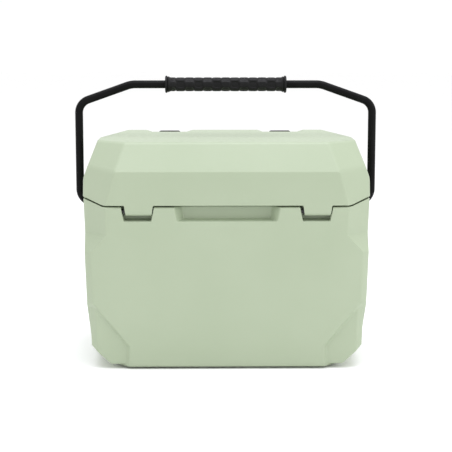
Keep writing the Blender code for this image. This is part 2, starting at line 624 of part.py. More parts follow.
def make_lid_shell():
    shell = faceted("lid_shell", (-BIG, -BIG, LID_BOTTOM), (BIG, BIG, LID_TOP),
                    lid_planes() + lid_underside_planes(LID_BOTTOM), CHEST, MAT_GREEN)
    cavity = lid_core("cut_lid_cavity", LID_WALL, LID_CAVITY_BOTTOM, LID_TOP - LID_WALL, 0.0)
    mouth = faceted("cut_lid_mouth", (-FLANGE_HALF_X - GAP, -FLANGE_HALF_Y - GAP, LID_BOTTOM - SPARE),
                    (FLANGE_HALF_X + GAP, FLANGE_HALF_Y + GAP, LID_CAVITY_BOTTOM + OVERLAP), [])
    boolean(shell, cavity)
    boolean(shell, mouth)
    for label, sx in SIDES:
        boolean(shell, latch_channel_cutter("cut_channel_" + label, sx))
        boolean(shell, channel_dip_cutter("cut_dip_" + label, sx))
        tab = tab_body("add_tab_" + label, sx)
        boolean(shell, tab, 'UNION')
        centre = tab_centre(sx)
        boolean(shell, cylinder_cutter("cut_bush_" + label, BUSH_R + GAP, (centre - LOCAL_HALF,
                                                                           HINGE_Y, HINGE_Z),
                                       (centre + LOCAL_HALF, HINGE_Y, HINGE_Z)))
    return shell


def tab_centre(sx):
    return sx * HINGE_X + TAB_SHIFT


def tab_half_at(z):
    """Half-width of a hinge tab at a height."""
    foot = HINGE_Z - TAB_RADIUS
    return TAB_HALF_FOOT + (TAB_HALF_TOP - TAB_HALF_FOOT) * (z - foot) / (BODY_TOP - foot)


def tab_body(name, sx):
    """A hinge tab: a round end about the hinge axis, running up into the lid."""
    x = tab_centre(sx)
    slope = (TAB_HALF_TOP - TAB_HALF_FOOT) / (BODY_TOP - HINGE_Z + TAB_RADIUS)
    foot = HINGE_Z - TAB_RADIUS
    planes = [((x + TAB_HALF_FOOT, 0, foot), (1, 0, -slope)),
              ((x - TAB_HALF_FOOT, 0, foot), (-1, 0, -slope))]
    for step in range(TAB_STEPS):
        angle = math.pi * (step + 0.5) / TAB_STEPS
        normal = (0, math.cos(angle), -math.sin(angle))
        planes.append(((0, HINGE_Y + TAB_RADIUS * normal[1], HINGE_Z + TAB_RADIUS * normal[2]), normal))
    return faceted(name, (x - LOCAL_HALF, HINGE_Y - TAB_RADIUS, foot),
                   (x + LOCAL_HALF, HINGE_Y + TAB_RADIUS, LID_BOTTOM + TAB_ROOT), planes)


def lid_core(name, inset, low_z, high_z, shrink):
    """The space inside the lid shell, clear of the latch channels."""
    core = faceted(name, (-BIG, -BIG, low_z + shrink), (BIG, BIG, high_z - shrink),
                   lid_planes(inset + shrink))
    keep_out = LID_KEEP_OUT + shrink
    for label, sx in SIDES:
        boolean(core, latch_channel_cutter(f"{name}_channel_{label}", sx, keep_out))
        boolean(core, channel_dip_cutter(f"{name}_dip_{label}", sx, keep_out))
    return core


def latch_channel_cutter(name, sx, grow=0.0):
    """The channel in the front of the lid, with flared sides."""
    x = sx * LATCH_X
    height = LID_TOP - BODY_TOP
    lean = (CHANNEL_FLOOR_FOOT - CHANNEL_FLOOR_TOP) / height
    flare = (CHANNEL_HALF_TOP - LATCH_BAY_HALF) / height
    half = LATCH_BAY_HALF + grow
    floor_y = CHANNEL_FLOOR_FOOT - grow
    planes = [((x + half, floor_y, BODY_TOP), (1, -LATCH_SIDE_FLARE, -flare)),
              ((x - half, floor_y, BODY_TOP), (-1, -LATCH_SIDE_FLARE, -flare)),
              ((0, floor_y, BODY_TOP), (0, -1, -lean))]
    return faceted(name, (x - LOCAL_HALF, CHANNEL_BLANK_Y, BODY_TOP - SPARE),
                   (x + LOCAL_HALF, BIG, BIG), planes)


def channel_dip_cutter(name, sx, grow=0.0):
    """A shallow dip with sloping ends where a channel meets the top of the lid."""
    x = sx * LATCH_X
    foot_half = LATCH_BAY_HALF + grow
    spread = (CHANNEL_HALF_TOP - LATCH_BAY_HALF) / CHANNEL_DIP
    floor = LID_TOP - CHANNEL_DIP - grow
    planes = [((x + foot_half, 0, floor), (1, 0, -spread)),
              ((x - foot_half, 0, floor), (-1, 0, -spread)),
              ((0, CHANNEL_DIP_Y - grow, LID_TOP), (0, -1, -CHANNEL_DIP_RUN))]
    return faceted(name, (x - LOCAL_HALF, CHANNEL_BLANK_Y, floor), (x + LOCAL_HALF, BIG, BIG), planes)


def make_lid_liner():
    liner = faceted("lid_liner", (-FLANGE_HALF_X, -FLANGE_HALF_Y, FLANGE_BOTTOM),
                    (FLANGE_HALF_X, FLANGE_HALF_Y, FLANGE_TOP), [], CHEST, MAT_LINER)
    plug = rounded_box("add_plug", PLUG_HALF_X, PLUG_HALF_Y, PLUG_BOTTOM, FLANGE_TOP, PLUG_CORNER)
    pan = rounded_box("cut_pan", PLUG_HALF_X - LINER_WALL, PLUG_HALF_Y - LINER_WALL,
                      PLUG_BOTTOM + LINER_WALL, BIG, PAN_CORNER)
    groove = gasket_ring("cut_gasket_groove", GAP)
    boolean(liner, plug, 'UNION')
    boolean(liner, pan)
    boolean(liner, groove)
    return liner


def gasket_ring(name, grow, collection=None, mat=None):
    """The square ring of the lid seal, or its groove when grown."""
    outer_x, outer_y = GASKET_OUTER
    low_z = BODY_TOP + GAP - GASKET_GROOVE_OPEN * grow
    ring = rounded_box(name, outer_x + grow, outer_y + grow, low_z, GASKET_TOP + grow, GASKET_CORNERS[0],
                       collection, mat)
    hole = rounded_box(name + "_hole", outer_x - GASKET_WIDTH - grow, outer_y - GASKET_WIDTH - grow,
                       -BIG, BIG, GASKET_CORNERS[1])
    boolean(ring, hole)
    return ring


def make_lid_foam():
    core = lid_core("lid_foam_core", LID_WALL, LID_CAVITY_BOTTOM, LID_TOP - LID_WALL, GAP)
    core.name = "lid_foam"
    CUTTERS.objects.unlink(core)
    CHEST.objects.link(core)
    core.hide_render = False
    core.display_type = 'TEXTURED'
    core.data.materials.append(MAT_FOAM)
    middle = faceted("add_foam_middle", (-FLANGE_HALF_X, -FLANGE_HALF_Y, FLANGE_TOP + GAP),
                     (FLANGE_HALF_X, FLANGE_HALF_Y, LID_CAVITY_BOTTOM + OVERLAP), [])
    pan = rounded_box("add_foam_pan", PLUG_HALF_X - LINER_WALL - GAP, PLUG_HALF_Y - LINER_WALL - GAP,
                      PLUG_BOTTOM + LINER_WALL + GAP, LID_CAVITY_BOTTOM + 2 * OVERLAP, PAN_CORNER)
    boolean(core, middle, 'UNION')
    boolean(core, pan, 'UNION')
    return core


# ================================================================ hinges
def make_hinge(label, sx):
    pin = turned("hinge_pin_" + label, [(0, HINGE_PIN_HALF), (HINGE_PIN_R, HINGE_PIN_HALF),
                                        (HINGE_PIN_R, -HINGE_PIN_HALF), (0, -HINGE_PIN_HALF)],
                 (sx * HINGE_X, HINGE_Y, HINGE_Z), 'X', COARSE, CHEST, MAT_STEEL)
    bushes = []
    bore = HINGE_PIN_R + GAP
    for place, direction, flange in (("spacer", -1, BUSH_FLANGE), ("plain", 1, 0.0)):
        if flange:
            end = tab_half_at(HINGE_Z + BUSH_FLANGE_R) + GAP
            profile = [(bore, flange), (BUSH_FLANGE_R, flange), (BUSH_FLANGE_R, 0), (BUSH_R, 0)]
        else:
            end = tab_half_at(HINGE_Z - BUSH_R)
            profile = [(bore, 0), (BUSH_R, 0)]
        profile += [(BUSH_R, -BUSH_LENGTH), (bore, -BUSH_LENGTH)]
        bush = turned(f"hinge_bush_{label}_{place}", profile,
                      (tab_centre(sx) + end * direction, HINGE_Y, HINGE_Z), 'X', COARSE, CHEST,
                      MAT_NYLON, ring=True)
        if direction < 0:
            bush.rotation_euler = (0.0, -math.pi / 2, 0.0)
        bushes.append(bush)
    return pin, bushes


# ================================================================ bail handle
def arc(centre, radius, start, end, steps):
    """Points of an arc in the XZ plane, angles from +X."""
    points = []
    for step in range(steps + 1):
        angle = start + (end - start) * step / steps
        points.append(Vector((centre[0] + radius * math.cos(angle), 0,
                              centre[1] + radius * math.sin(angle))))
    return points


def bail_half():
    """The right half of the bail's centreline, from the middle of the top bar to its inturned end."""
    lean = SHOULDER_ANGLE
    bend = TOP_BEND_R * math.tan(lean / 2)
    points = [Vector((0, 0, TOP_BAR_Z))]
    points += arc((TOP_VERTEX_X - bend, TOP_BAR_Z - TOP_BEND_R), TOP_BEND_R, math.pi / 2,
                  math.pi / 2 - lean, 4)
    corner_z = TOP_BAR_Z - (LEG_X - TOP_VERTEX_X) * math.tan(lean)
    turn = math.pi / 2 - lean
    cut = UPPER_BEND_R * math.tan(turn / 2)
    points += arc((LEG_X - UPPER_BEND_R, corner_z - cut), UPPER_BEND_R, math.pi / 2 - lean, 0, 8)
    points += arc((LEG_X - LOWER_BEND_R, PIVOT_Z + LOWER_BEND_R), LOWER_BEND_R, 0, -math.pi / 2, 8)
    points.append(Vector((BAR_END_X, 0, PIVOT_Z)))
    return points


def make_handle_bar():
    half = bail_half()
    points = [Vector((-p.x, p.y, p.z)) for p in reversed(half[1:])] + half
    curve = bpy.data.curves.new("handle_bar", 'CURVE')
    curve.dimensions = '3D'
    curve.bevel_depth = TUBE_R
    curve.bevel_resolution = 4
    curve.use_fill_caps = True
    spline = curve.splines.new('POLY')
    spline.points.add(len(points) - 1)
    for slot, point in zip(spline.points, points):
        slot.co = (*point, 1.0)
    curve.materials.append(MAT_BLACK)
    bar = bpy.data.objects.new("handle_bar", curve)
    CHEST.objects.link(bar)
    return bar


def make_grip():
    bore = TUBE_R + GAP
    profile = [(bore, GRIP_HALF), (GRIP_COLLAR_R - GRIP_CHAMFER, GRIP_HALF),
               (GRIP_COLLAR_R, GRIP_HALF - GRIP_CHAMFER), (GRIP_COLLAR_R, GRIP_HALF - GRIP_COLLAR),
               (GRIP_R, GRIP_HALF - GRIP_COLLAR - 2 * GRIP_CHAMFER)]
    mirrored_profile = [(radius, -height) for radius, height in reversed(profile)]
    return turned("handle_grip", profile + mirrored_profile, (0, 0, TOP_BAR_Z), 'X', FINE, CHEST,
                  MAT_RUBBER,
                  ring=True)


def socket_face_x():
    """|x| of the body side at the pivot height, where the socket's flange is sunk flush."""
    return BODY_HALF_X - (BODY_TOP - PIVOT_Z) * DRAFT - SOCKET_FLANGE


def make_socket(label, sx):
    bore = TUBE_R + BORE_PLAY
    chamber = RETAINER_R + 2 * GAP
    face = socket_face_x()
    out = face + SOCKET_FLANGE
    profile = [(SOCKET_MOUTH_R, out), (SOCKET_FLANGE_R, out), (SOCKET_FLANGE_R, face), (SOCKET_R, face),
               (SOCKET_R, SOCKET_INNER_X), (chamber, SOCKET_INNER_X), (chamber, SOCKET_BORE_X),
               (bore, SOCKET_BORE_X), (bore, SOCKET_MOUTH_X), (SOCKET_MOUTH_R - SOCKET_MOUTH_STEP,
                                                               SOCKET_MOUTH_X)]
    socket = turned("handle_socket_" + label, profile, (0, 0, PIVOT_Z), 'X', FINE, CHEST, MAT_RUBBER,
                    ring=True)
    if sx < 0:
        socket.rotation_euler = (0.0, -math.pi / 2, 0.0)
    return socket


def make_retainer(label, sx):
    bore = TUBE_R + GAP
    inner = BAR_END_X + RETAINER_OFFSET
    profile = [(bore, inner + RETAINER_THICK), (RETAINER_R, inner + RETAINER_THICK),
               (RETAINER_R, inner), (bore, inner)]
    ring = turned("handle_retainer_" + label, profile, (0, 0, PIVOT_Z), 'X', COARSE, CHEST, MAT_STEEL,
                  ring=True)
    if sx < 0:
        ring.rotation_euler = (0.0, -math.pi / 2, 0.0)
    return ring


# ================================================================ latches
def make_latch(label, sx):
    """A rubber strap with a wide head, hooked on a cross pin in the body."""
    foot = Vector((0, LATCH_PIN_Y, LATCH_PIN_Z))
    tip = Vector((0, LATCH_TIP_Y, LATCH_TIP_Z))
    lean = math.atan2(foot.y - tip.y, tip.z - foot.z)
    length = (tip - foot).length
    half = LATCH_THICK / 2
    strap = box_mesh((-STRAP_HALF, -half, 0), (STRAP_HALF, half, length - HEAD_LENGTH / 2))
    latch = to_object("latch_" + label, strap, CHEST, MAT_RUBBER)
    corners = mirrored([((HEAD_HALF, 0, length - HEAD_TIP_CHAMFER), (1, 0, 1)),
                        ((HEAD_HALF, 0, length - HEAD_LENGTH + HEAD_ROOT_CHAMFER), (1, 0, -1))],
                        over_y=False)
    head = faceted("add_latch_head_" + label, (-HEAD_HALF, -half, length - HEAD_LENGTH),
                   (HEAD_HALF, half, length), corners)
    eye_half = STRAP_HALF + EYE_EXTRA
    eye = cylinder_cutter("add_latch_eye_" + label, LATCH_EYE_R, (-eye_half, 0, 0), (eye_half, 0, 0))
    hole = cylinder_cutter("cut_latch_eye_" + label, LATCH_PIN_R + GAP, (-LOCAL_HALF, 0, 0),
                           (LOCAL_HALF, 0, 0), COARSE)
    boolean(latch, head, 'UNION')
    boolean(latch, eye, 'UNION')
    boolean(latch, hole)
    for obj in (latch, head, eye, hole):
        obj.location = (sx * LATCH_X, LATCH_PIN_Y, LATCH_PIN_Z)
        obj.rotation_euler = (lean, 0, 0)
    pin_half = LATCH_BAY_HALF + LATCH_PIN_SINK
    pin = turned("latch_pin_" + label, [(0, pin_half), (LATCH_PIN_R, pin_half), (LATCH_PIN_R, -pin_half),
                                        (0, -pin_half)],
                 (sx * LATCH_X, LATCH_PIN_Y, LATCH_PIN_Z), 'X', COARSE, CHEST, MAT_STEEL)
    return latch, pin


# ================================================================ feet
def foot_places():
    return [(sx * FOOT_X, sy * FOOT_Y) for sx in (-1, 1) for sy in (-1, 1)]


def make_foot(name, x, y):
    hole = SCREW_R + GAP
    seat = SCREW_HEAD_R + GAP
    profile = [(hole, FOOT_TOP), (FOOT_R, FOOT_TOP), (FOOT_R, FOOT_CHAMFER), (FOOT_R - FOOT_CHAMFER, 0),
               (seat, 0), (seat, SCREW_SHOULDER_Z + GAP), (hole, SCREW_SHOULDER_Z + GAP)]
    return turned("foot_" + name, profile, (x, y, 0), 'Z', FINE, CHEST, MAT_RUBBER, ring=True)


def make_foot_screw(name, x, y):
    profile = [(0, SCREW_TIP_Z), (SCREW_R, SCREW_TIP_Z), (SCREW_R, SCREW_SHOULDER_Z),
               (SCREW_HEAD_R, SCREW_SHOULDER_Z), (SCREW_HEAD_R, SCREW_HEAD_Z), (0, SCREW_HEAD_Z)]
    return turned("foot_screw_" + name, profile, (x, y, 0), 'Z', COARSE, CHEST, MAT_STEEL)


# ================================================================ build
clear_scene()
CHEST = new_collection("cooler_chest")
CUTTERS = new_collection("cutters")
MAT_GREEN = material("moulded_green", GREEN, 0.55)
MAT_LINER = material("moulded_liner", LINER_WHITE, 0.45)
MAT_FOAM = material("foam", FOAM, 0.9)
MAT_BLACK = material("black_coated_steel", BLACK_METAL, 0.4, 0.3)
MAT_RUBBER = material("black_rubber", BLACK_RUBBER, 0.7)
MAT_STEEL = material("steel", STEEL, 0.35, 1.0)
MAT_NYLON = material("nylon", NYLON, 0.5)

make_body_shell()
make_body_foam()
make_body_liner()

lid_parts = [make_lid_shell(), make_lid_foam(), make_lid_liner(),
             gasket_ring("lid_gasket", 0.0, CHEST, MAT_RUBBER)]
handle_parts = [make_handle_bar(), make_grip()]
lid_pivot = pivot_empty("lid_axis", (0, HINGE_Y, HINGE_Z))
handle_pivot = pivot_empty("handle_axis", (0, 0, PIVOT_Z))
for side, sign in SIDES:
    _, hinge_bushes = make_hinge(side, sign)
    lid_parts += hinge_bushes
    make_socket(side, sign)
    handle_parts.append(make_retainer(side, sign))
    make_latch(side, sign)
hang_on(lid_parts, lid_pivot)
hang_on(handle_parts, handle_pivot)

for place, (foot_x, foot_y) in zip(("back_left", "front_left", "back_right", "front_right"), foot_places()):
    make_foot(place, foot_x, foot_y)
    make_foot_screw(place, foot_x, foot_y)
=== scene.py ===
"""Looks of the hard cooler chest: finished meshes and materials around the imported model."""
import math

import bmesh
import bpy
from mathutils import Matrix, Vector
from mathutils.bvhtree import BVHTree


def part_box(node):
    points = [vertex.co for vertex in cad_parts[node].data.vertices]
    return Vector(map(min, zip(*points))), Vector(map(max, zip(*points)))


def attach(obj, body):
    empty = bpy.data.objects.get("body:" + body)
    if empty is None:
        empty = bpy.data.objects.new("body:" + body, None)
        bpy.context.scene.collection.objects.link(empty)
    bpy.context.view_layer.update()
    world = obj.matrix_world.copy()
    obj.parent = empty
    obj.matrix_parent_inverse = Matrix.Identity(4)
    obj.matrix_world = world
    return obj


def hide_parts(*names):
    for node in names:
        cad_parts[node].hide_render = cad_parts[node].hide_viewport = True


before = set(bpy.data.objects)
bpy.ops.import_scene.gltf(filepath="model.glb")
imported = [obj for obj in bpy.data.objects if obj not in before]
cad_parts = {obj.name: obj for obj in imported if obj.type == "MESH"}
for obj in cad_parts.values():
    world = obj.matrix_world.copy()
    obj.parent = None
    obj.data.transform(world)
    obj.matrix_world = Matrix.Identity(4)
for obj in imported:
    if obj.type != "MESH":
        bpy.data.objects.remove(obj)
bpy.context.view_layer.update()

MM = 0.001
SIDES = ("left", "right")

WELD = 0.02 * MM                        # vertices closer than this are one
FLAT = math.radians(0.4)                # faces closer than this are one facet
ROUND_ABOVE = math.radians(13.0)        # facet edges flatter than this are only shaded smooth
WIDE_BELOW = math.radians(66.0)         # edges between big facets below this angle get the wide rounding
BROAD = 10.0 * MM                       # a big facet is broader than this
BIG_FACET = 0.9e-3                      # and has a larger area than this, m2
SHORT_EDGE = 5.0 * MM                   # shorter edges, on a facet narrower than this, get the tiny rounding
ALMOST_STRAIGHT = math.radians(160.0)   # at blunter corners of a facet, roundings take up no length
ROOM = 0.9                              # part of an edge that the roundings at its ends may take up
LEAST = 0.12 * MM                       # narrowest rounding that making room leaves
KEPT_WIDTH = 0.5                        # part of its width that a rounding keeps at least when room is made
PASSES = 12                             # times that room is made at most
RUNS_ON = -0.9                          # two edges run on if the cosine between them is below this
HOLD = 0.9 * MM                         # rounding never leaves the CAD surface by more than this


def low_high(node):
    """Lowest and highest corner of a CAD node as vectors."""
    low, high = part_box(node)
    return Vector(low), Vector(high)


# ================================================================ materials
NOISE_LOW = 0.3                         # most of a noise lies between these two
NOISE_HIGH = 0.7
DUST = 1.7                              # dusty rubber is lighter than clean rubber by this factor
DUST_BLUE = 1.02                        # and its blue by this much more


class Shader:
    """A material with a Principled BSDF and a short way to add and wire nodes."""

    def __init__(self, name, colour, roughness, metallic=0.0, specular=0.5):
        self.mat = bpy.data.materials.new(name)
        self.mat.use_nodes = True
        self.tree = self.mat.node_tree
        self.bsdf = self.tree.nodes["Principled BSDF"]
        self.bsdf.inputs["Base Color"].default_value = (*colour, 1.0)
        self.bsdf.inputs["Roughness"].default_value = roughness
        self.bsdf.inputs["Metallic"].default_value = metallic
        self.bsdf.inputs["Specular IOR Level"].default_value = specular
        self.coords = self.tree.nodes.new("ShaderNodeTexCoord").outputs["Object"]
        self.height = None

    def noise(self, scale, detail=3.0, roughness=0.5, stretch=None):
        """Noise in the object's own coordinates; scale is in waves to the metre."""
        node = self.tree.nodes.new("ShaderNodeTexNoise")
        node.inputs["Scale"].default_value = scale
        node.inputs["Detail"].default_value = detail
        node.inputs["Roughness"].default_value = roughness
        source = self.coords
        if stretch:
            mapping = self.tree.nodes.new("ShaderNodeMapping")
            mapping.inputs["Scale"].default_value = stretch
            self.tree.links.new(source, mapping.inputs["Vector"])
            source = mapping.outputs["Vector"]
        self.tree.links.new(source, node.inputs["Vector"])
        return node.outputs["Fac"]

    def cells(self, scale):
        """Distance to the middle of the nearest cell; scale is in cells to the metre."""
        node = self.tree.nodes.new("ShaderNodeTexVoronoi")
        node.inputs["Scale"].default_value = scale
        self.tree.links.new(self.coords, node.inputs["Vector"])
        return node.outputs["Distance"]

    def remap(self, value, low, high, to_low, to_high):
        """The range from low to high stretched over another one, and held at its ends."""
        node = self.tree.nodes.new("ShaderNodeMapRange")
        for key, number in (("From Min", low), ("From Max", high), ("To Min", to_low), ("To Max", to_high)):
            node.inputs[key].default_value = number
        self.tree.links.new(value, node.inputs["Value"])
        return node.outputs["Result"]

    def spread(self, noise, to_low=0.0, to_high=1.0):
        """The range that most of a noise lies in, stretched over another one."""
        return self.remap(noise, NOISE_LOW, NOISE_HIGH, to_low, to_high)

    def blend(self, factor, first, second):
        """Mix of two colours; the first may be the output of another mix."""
        node = self.tree.nodes.new("ShaderNodeMix")
        node.data_type = 'RGBA'
        if isinstance(first, tuple):
            node.inputs["A"].default_value = (*first, 1.0)
        else:
            self.tree.links.new(first, node.inputs["A"])
        node.inputs["B"].default_value = (*second, 1.0)
        self.tree.links.new(factor, node.inputs["Factor"])
        return node.outputs["Result"]

    def colour(self, output):
        """Lets an output drive the base colour."""
        self.tree.links.new(output, self.bsdf.inputs["Base Color"])

    def roughness(self, output):
        """Lets an output drive the roughness."""
        self.tree.links.new(output, self.bsdf.inputs["Roughness"])

    def bump(self, output, distance, strength):
        """Adds a relief on top of the ones already there."""
        node = self.tree.nodes.new("ShaderNodeBump")
        node.inputs["Distance"].default_value = distance
        node.inputs["Strength"].default_value = strength
        self.tree.links.new(output, node.inputs["Height"])
        if self.height:
            self.tree.links.new(self.height, node.inputs["Normal"])
        self.height = node.outputs["Normal"]
        self.tree.links.new(self.height, self.bsdf.inputs["Normal"])


def green_plastic():
    """Matte sage plastic with a fine moulded grain and faint cloudiness."""
    shader = Shader("sage_plastic", (0.351, 0.413, 0.289), roughness=0.45)
    cloud = shader.spread(shader.noise(9.0, detail=2.0))
    tint = shader.blend(cloud, (0.343, 0.406, 0.281), (0.358, 0.420, 0.295))
    speck = shader.remap(shader.noise(900.0, detail=1.0), 0.62, 0.78, 0.0, 0.25)
    shader.colour(shader.blend(speck, tint, (0.312, 0.375, 0.257)))
    shader.roughness(shader.spread(shader.noise(140.0, detail=4.0), 0.40, 0.52))
    shader.bump(shader.noise(1500.0, detail=2.0, roughness=0.6), distance=0.05 * MM, strength=0.5)
    shader.bump(shader.noise(12.0, detail=1.0), distance=0.5 * MM, strength=0.10)
    return shader.mat


def liner_plastic():
    """Smooth pale liner plastic with faint flow marks."""
    shader = Shader("liner_plastic", (0.76, 0.78, 0.74), roughness=0.35)
    flow = shader.spread(shader.noise(14.0, roughness=0.6, stretch=(1, 1, 0.25)))
    shader.colour(shader.blend(flow, (0.74, 0.765, 0.725), (0.79, 0.81, 0.775)))
    shader.roughness(shader.spread(shader.noise(60.0), 0.28, 0.42))
    shader.bump(shader.noise(700.0, detail=2.0), distance=0.03 * MM, strength=0.4)
    return shader.mat


def rigid_foam():
    """Yellowish insulation foam with open pores, darkened with painted shade where they are deepest; the
    shells and liners hide it.
    """
    shader = Shader("rigid_foam", (0.80, 0.70, 0.42), roughness=0.95)
    pore_depth_and_shade = shader.remap(shader.cells(700.0), 0.0, 0.6, 0.0, 1.0)
    # painted shade: the pores are coloured darker where the bump makes them deepest
    shader.colour(shader.blend(pore_depth_and_shade, (0.62, 0.52, 0.28), (0.84, 0.75, 0.48)))
    shader.bump(pore_depth_and_shade, distance=0.3 * MM, strength=0.6)
    return shader.mat


def black_coat():
    """Satin powder coat on the tube, with its slight orange peel."""
    shader = Shader("black_powder_coat", (0.012, 0.012, 0.013), roughness=0.42, specular=0.09)
    cloud = shader.spread(shader.noise(40.0))
    shader.colour(shader.blend(cloud, (0.003, 0.003, 0.003), (0.005, 0.005, 0.005)))
    shader.roughness(shader.spread(shader.noise(180.0), 0.36, 0.50))
    shader.bump(shader.noise(900.0, detail=2.0), distance=0.06 * MM, strength=0.5)
    return shader.mat


def black_rubber(name, tone, low_rough, high_rough, grain=1300.0):
    """Dark moulded rubber or plastic: dusty in places, with a fine grain."""
    dark = (tone, tone, tone)
    dusty = (DUST * tone, DUST * tone, DUST * DUST_BLUE * tone)
    shader = Shader(name, dark, high_rough, specular=0.16)
    dust = shader.remap(shader.noise(70.0, detail=4.0, roughness=0.6), 0.35, 0.75, 0.0, 1.0)
    shader.colour(shader.blend(dust, dark, dusty))
    shader.roughness(shader.spread(shader.noise(220.0), low_rough, high_rough))
    shader.bump(shader.noise(grain, detail=2.0, roughness=0.6), distance=0.06 * MM, strength=0.6)
    return shader.mat


def brushed_steel(name, tone):
    """Steel with fine lines round each pin and screw."""
    dark = (0.9 * tone, 0.9 * tone, 0.91 * tone)
    light = (1.09 * tone, 1.09 * tone, 1.1 * tone)
    shader = Shader(name, (tone, tone, tone), roughness=0.3, metallic=1.0)
    lines = shader.noise(900.0, roughness=0.6, stretch=(3.0, 0.4, 0.4))
    shader.roughness(shader.spread(lines, 0.22, 0.42))
    shader.colour(shader.blend(shader.spread(lines), dark, light))
    shader.bump(lines, distance=0.02 * MM, strength=0.4)
    return shader.mat


def black_nylon():
    """Slightly mottled nylon of the hinge bushes."""
    shader = Shader("black_nylon", (0.02, 0.02, 0.02), roughness=0.4)
    cloud = shader.spread(shader.noise(300.0))
    shader.colour(shader.blend(cloud, (0.014, 0.014, 0.014), (0.026, 0.026, 0.025)))
    shader.bump(shader.noise(1500.0), distance=0.03 * MM, strength=0.4)
    return shader.mat


GREEN = green_plastic()
LINER = liner_plastic()
FOAM = rigid_foam()
COAT = black_coat()
GRIP = black_rubber("grip_rubber", 0.006, 0.42, 0.58)
STRAP = black_rubber("latch_rubber", 0.007, 0.38, 0.52)
SOCKET = black_rubber("socket_plastic", 0.006, 0.34, 0.46, grain=1800.0)
SEAL = black_rubber("seal_rubber", 0.04, 0.55, 0.7)
FOOT = black_rubber("foot_rubber", 0.022, 0.6, 0.78)
STEEL = brushed_steel("stainless", 0.58)
PIN_STEEL = brushed_steel("blackened_steel", 0.045)
NYLON = black_nylon()


# ================================================================ CAD nodes with rounded edges
def finish_piece(name, mesh, body, mat, replaced):
    """Puts a mesh in the scene as a named piece that rides on a body in place of CAD nodes."""
    mesh.materials.clear()
    mesh.materials.append(mat)
    obj = bpy.data.objects.new(name, mesh)
    bpy.context.scene.collection.objects.link(obj)
    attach(obj, body)
    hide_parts(*replaced)
    return obj


def cad_facets(node):
    """The CAD node as flat polygons again, in a bmesh of its own."""
    bm = bmesh.new()
    bm.from_mesh(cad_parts[node].data)
    bmesh.ops.remove_doubles(bm, verts=bm.verts, dist=WELD)
    bmesh.ops.dissolve_limit(bm, angle_limit=FLAT, verts=bm.verts, edges=bm.edges)
    return bm


def breadth(face):
    """Rough width of a facet: twice its area over its outline."""
    return 2 * face.calc_area() / face.calc_perimeter()


def even_out(bm, widths):
    """Edges that run on into each other get the width of the narrower one."""
    for vert in bm.verts:
        ends = [edge for edge in vert.link_edges if edge in widths]
        for number, first in enumerate(ends):
            for second in ends[number + 1:]:
                along = (first.other_vert(vert).co - vert.co).normalized()
                on = (second.other_vert(vert).co - vert.co).normalized()
                if along.dot(on) < RUNS_ON:
                    widths[first] = widths[second] = min(widths[first], widths[second])


def taken(corner, edge, other, widths):
    """Length of an edge that the rounding of its neighbour takes up at one corner of a facet."""
    angle = corner.calc_angle()
    if not corner.is_convex or angle > ALMOST_STRAIGHT:
        return 0.0
    return max(0.0, (widths.get(other, 0.0) + widths.get(edge, 0.0) * math.cos(angle)) / math.sin(angle))


def make_room(bm, widths):
    """Narrows roundings that meet across a facet; True if any had to change."""
    changed = False
    for face in bm.faces:
        for loop in face.loops:
            after = loop.link_loop_next
            edge, before, behind = loop.edge, loop.link_loop_prev.edge, after.edge
            used = taken(loop, edge, before, widths) + taken(after, edge, behind, widths)
            room = ROOM * edge.calc_length()
            if used > room:
                changed = True
                for near in (before, behind):
                    if near in widths:
                        widths[near] = max(widths[near] * max(room / used, KEPT_WIDTH), LEAST)
    return changed


def weigh_edges(bm, wide, narrow, tiny, is_wide):
    """Gives each edge its share of the wide rounding, as far as the facets have room for it."""
    layer = bm.edges.layers.float.new("bevel_weight_edge")
    widths = {}
    for edge in bm.edges:
        if len(edge.link_faces) != 2:
            continue
        angle = edge.calc_face_angle()
        if angle < ROUND_ABOVE:
            continue
        if edge.calc_length() < SHORT_EDGE and min(map(breadth, edge.link_faces)) < SHORT_EDGE:
            widths[edge] = tiny
        else:
            widths[edge] = wide if is_wide(edge, angle) else narrow
    for _ in range(PASSES):
        even_out(bm, widths)
        if not make_room(bm, widths):
            break
    for edge, width in widths.items():
        edge[layer] = width / wide


def every_edge(_edge, _angle):
    """The rule of a piece that has the same rounding all over."""
    return True


def between_big_facets(edge, angle):
    """Whether a ridge lies between two facets that both have room for the wide rounding."""
    return edge.is_convex and angle < WIDE_BELOW and all(
        breadth(face) > BROAD and face.calc_area() > BIG_FACET for face in edge.link_faces)


def hold_to_surface(mesh, source, box, limit):
    """Pulls back every vertex that the rounding threw further than limit from the CAD surface."""
    tree = BVHTree.FromPolygons([vert.co for vert in source.data.vertices],
                                [tuple(face.vertices) for face in source.data.polygons])
    low, high = box
    for vert in mesh.vertices:
        near, _, _, distance = tree.find_nearest(vert.co)
        if distance > limit:
            vert.co = near + (vert.co - near) * (limit / distance)
        vert.co = [min(max(value, a), b) for value, a, b in zip(vert.co, low, high)]


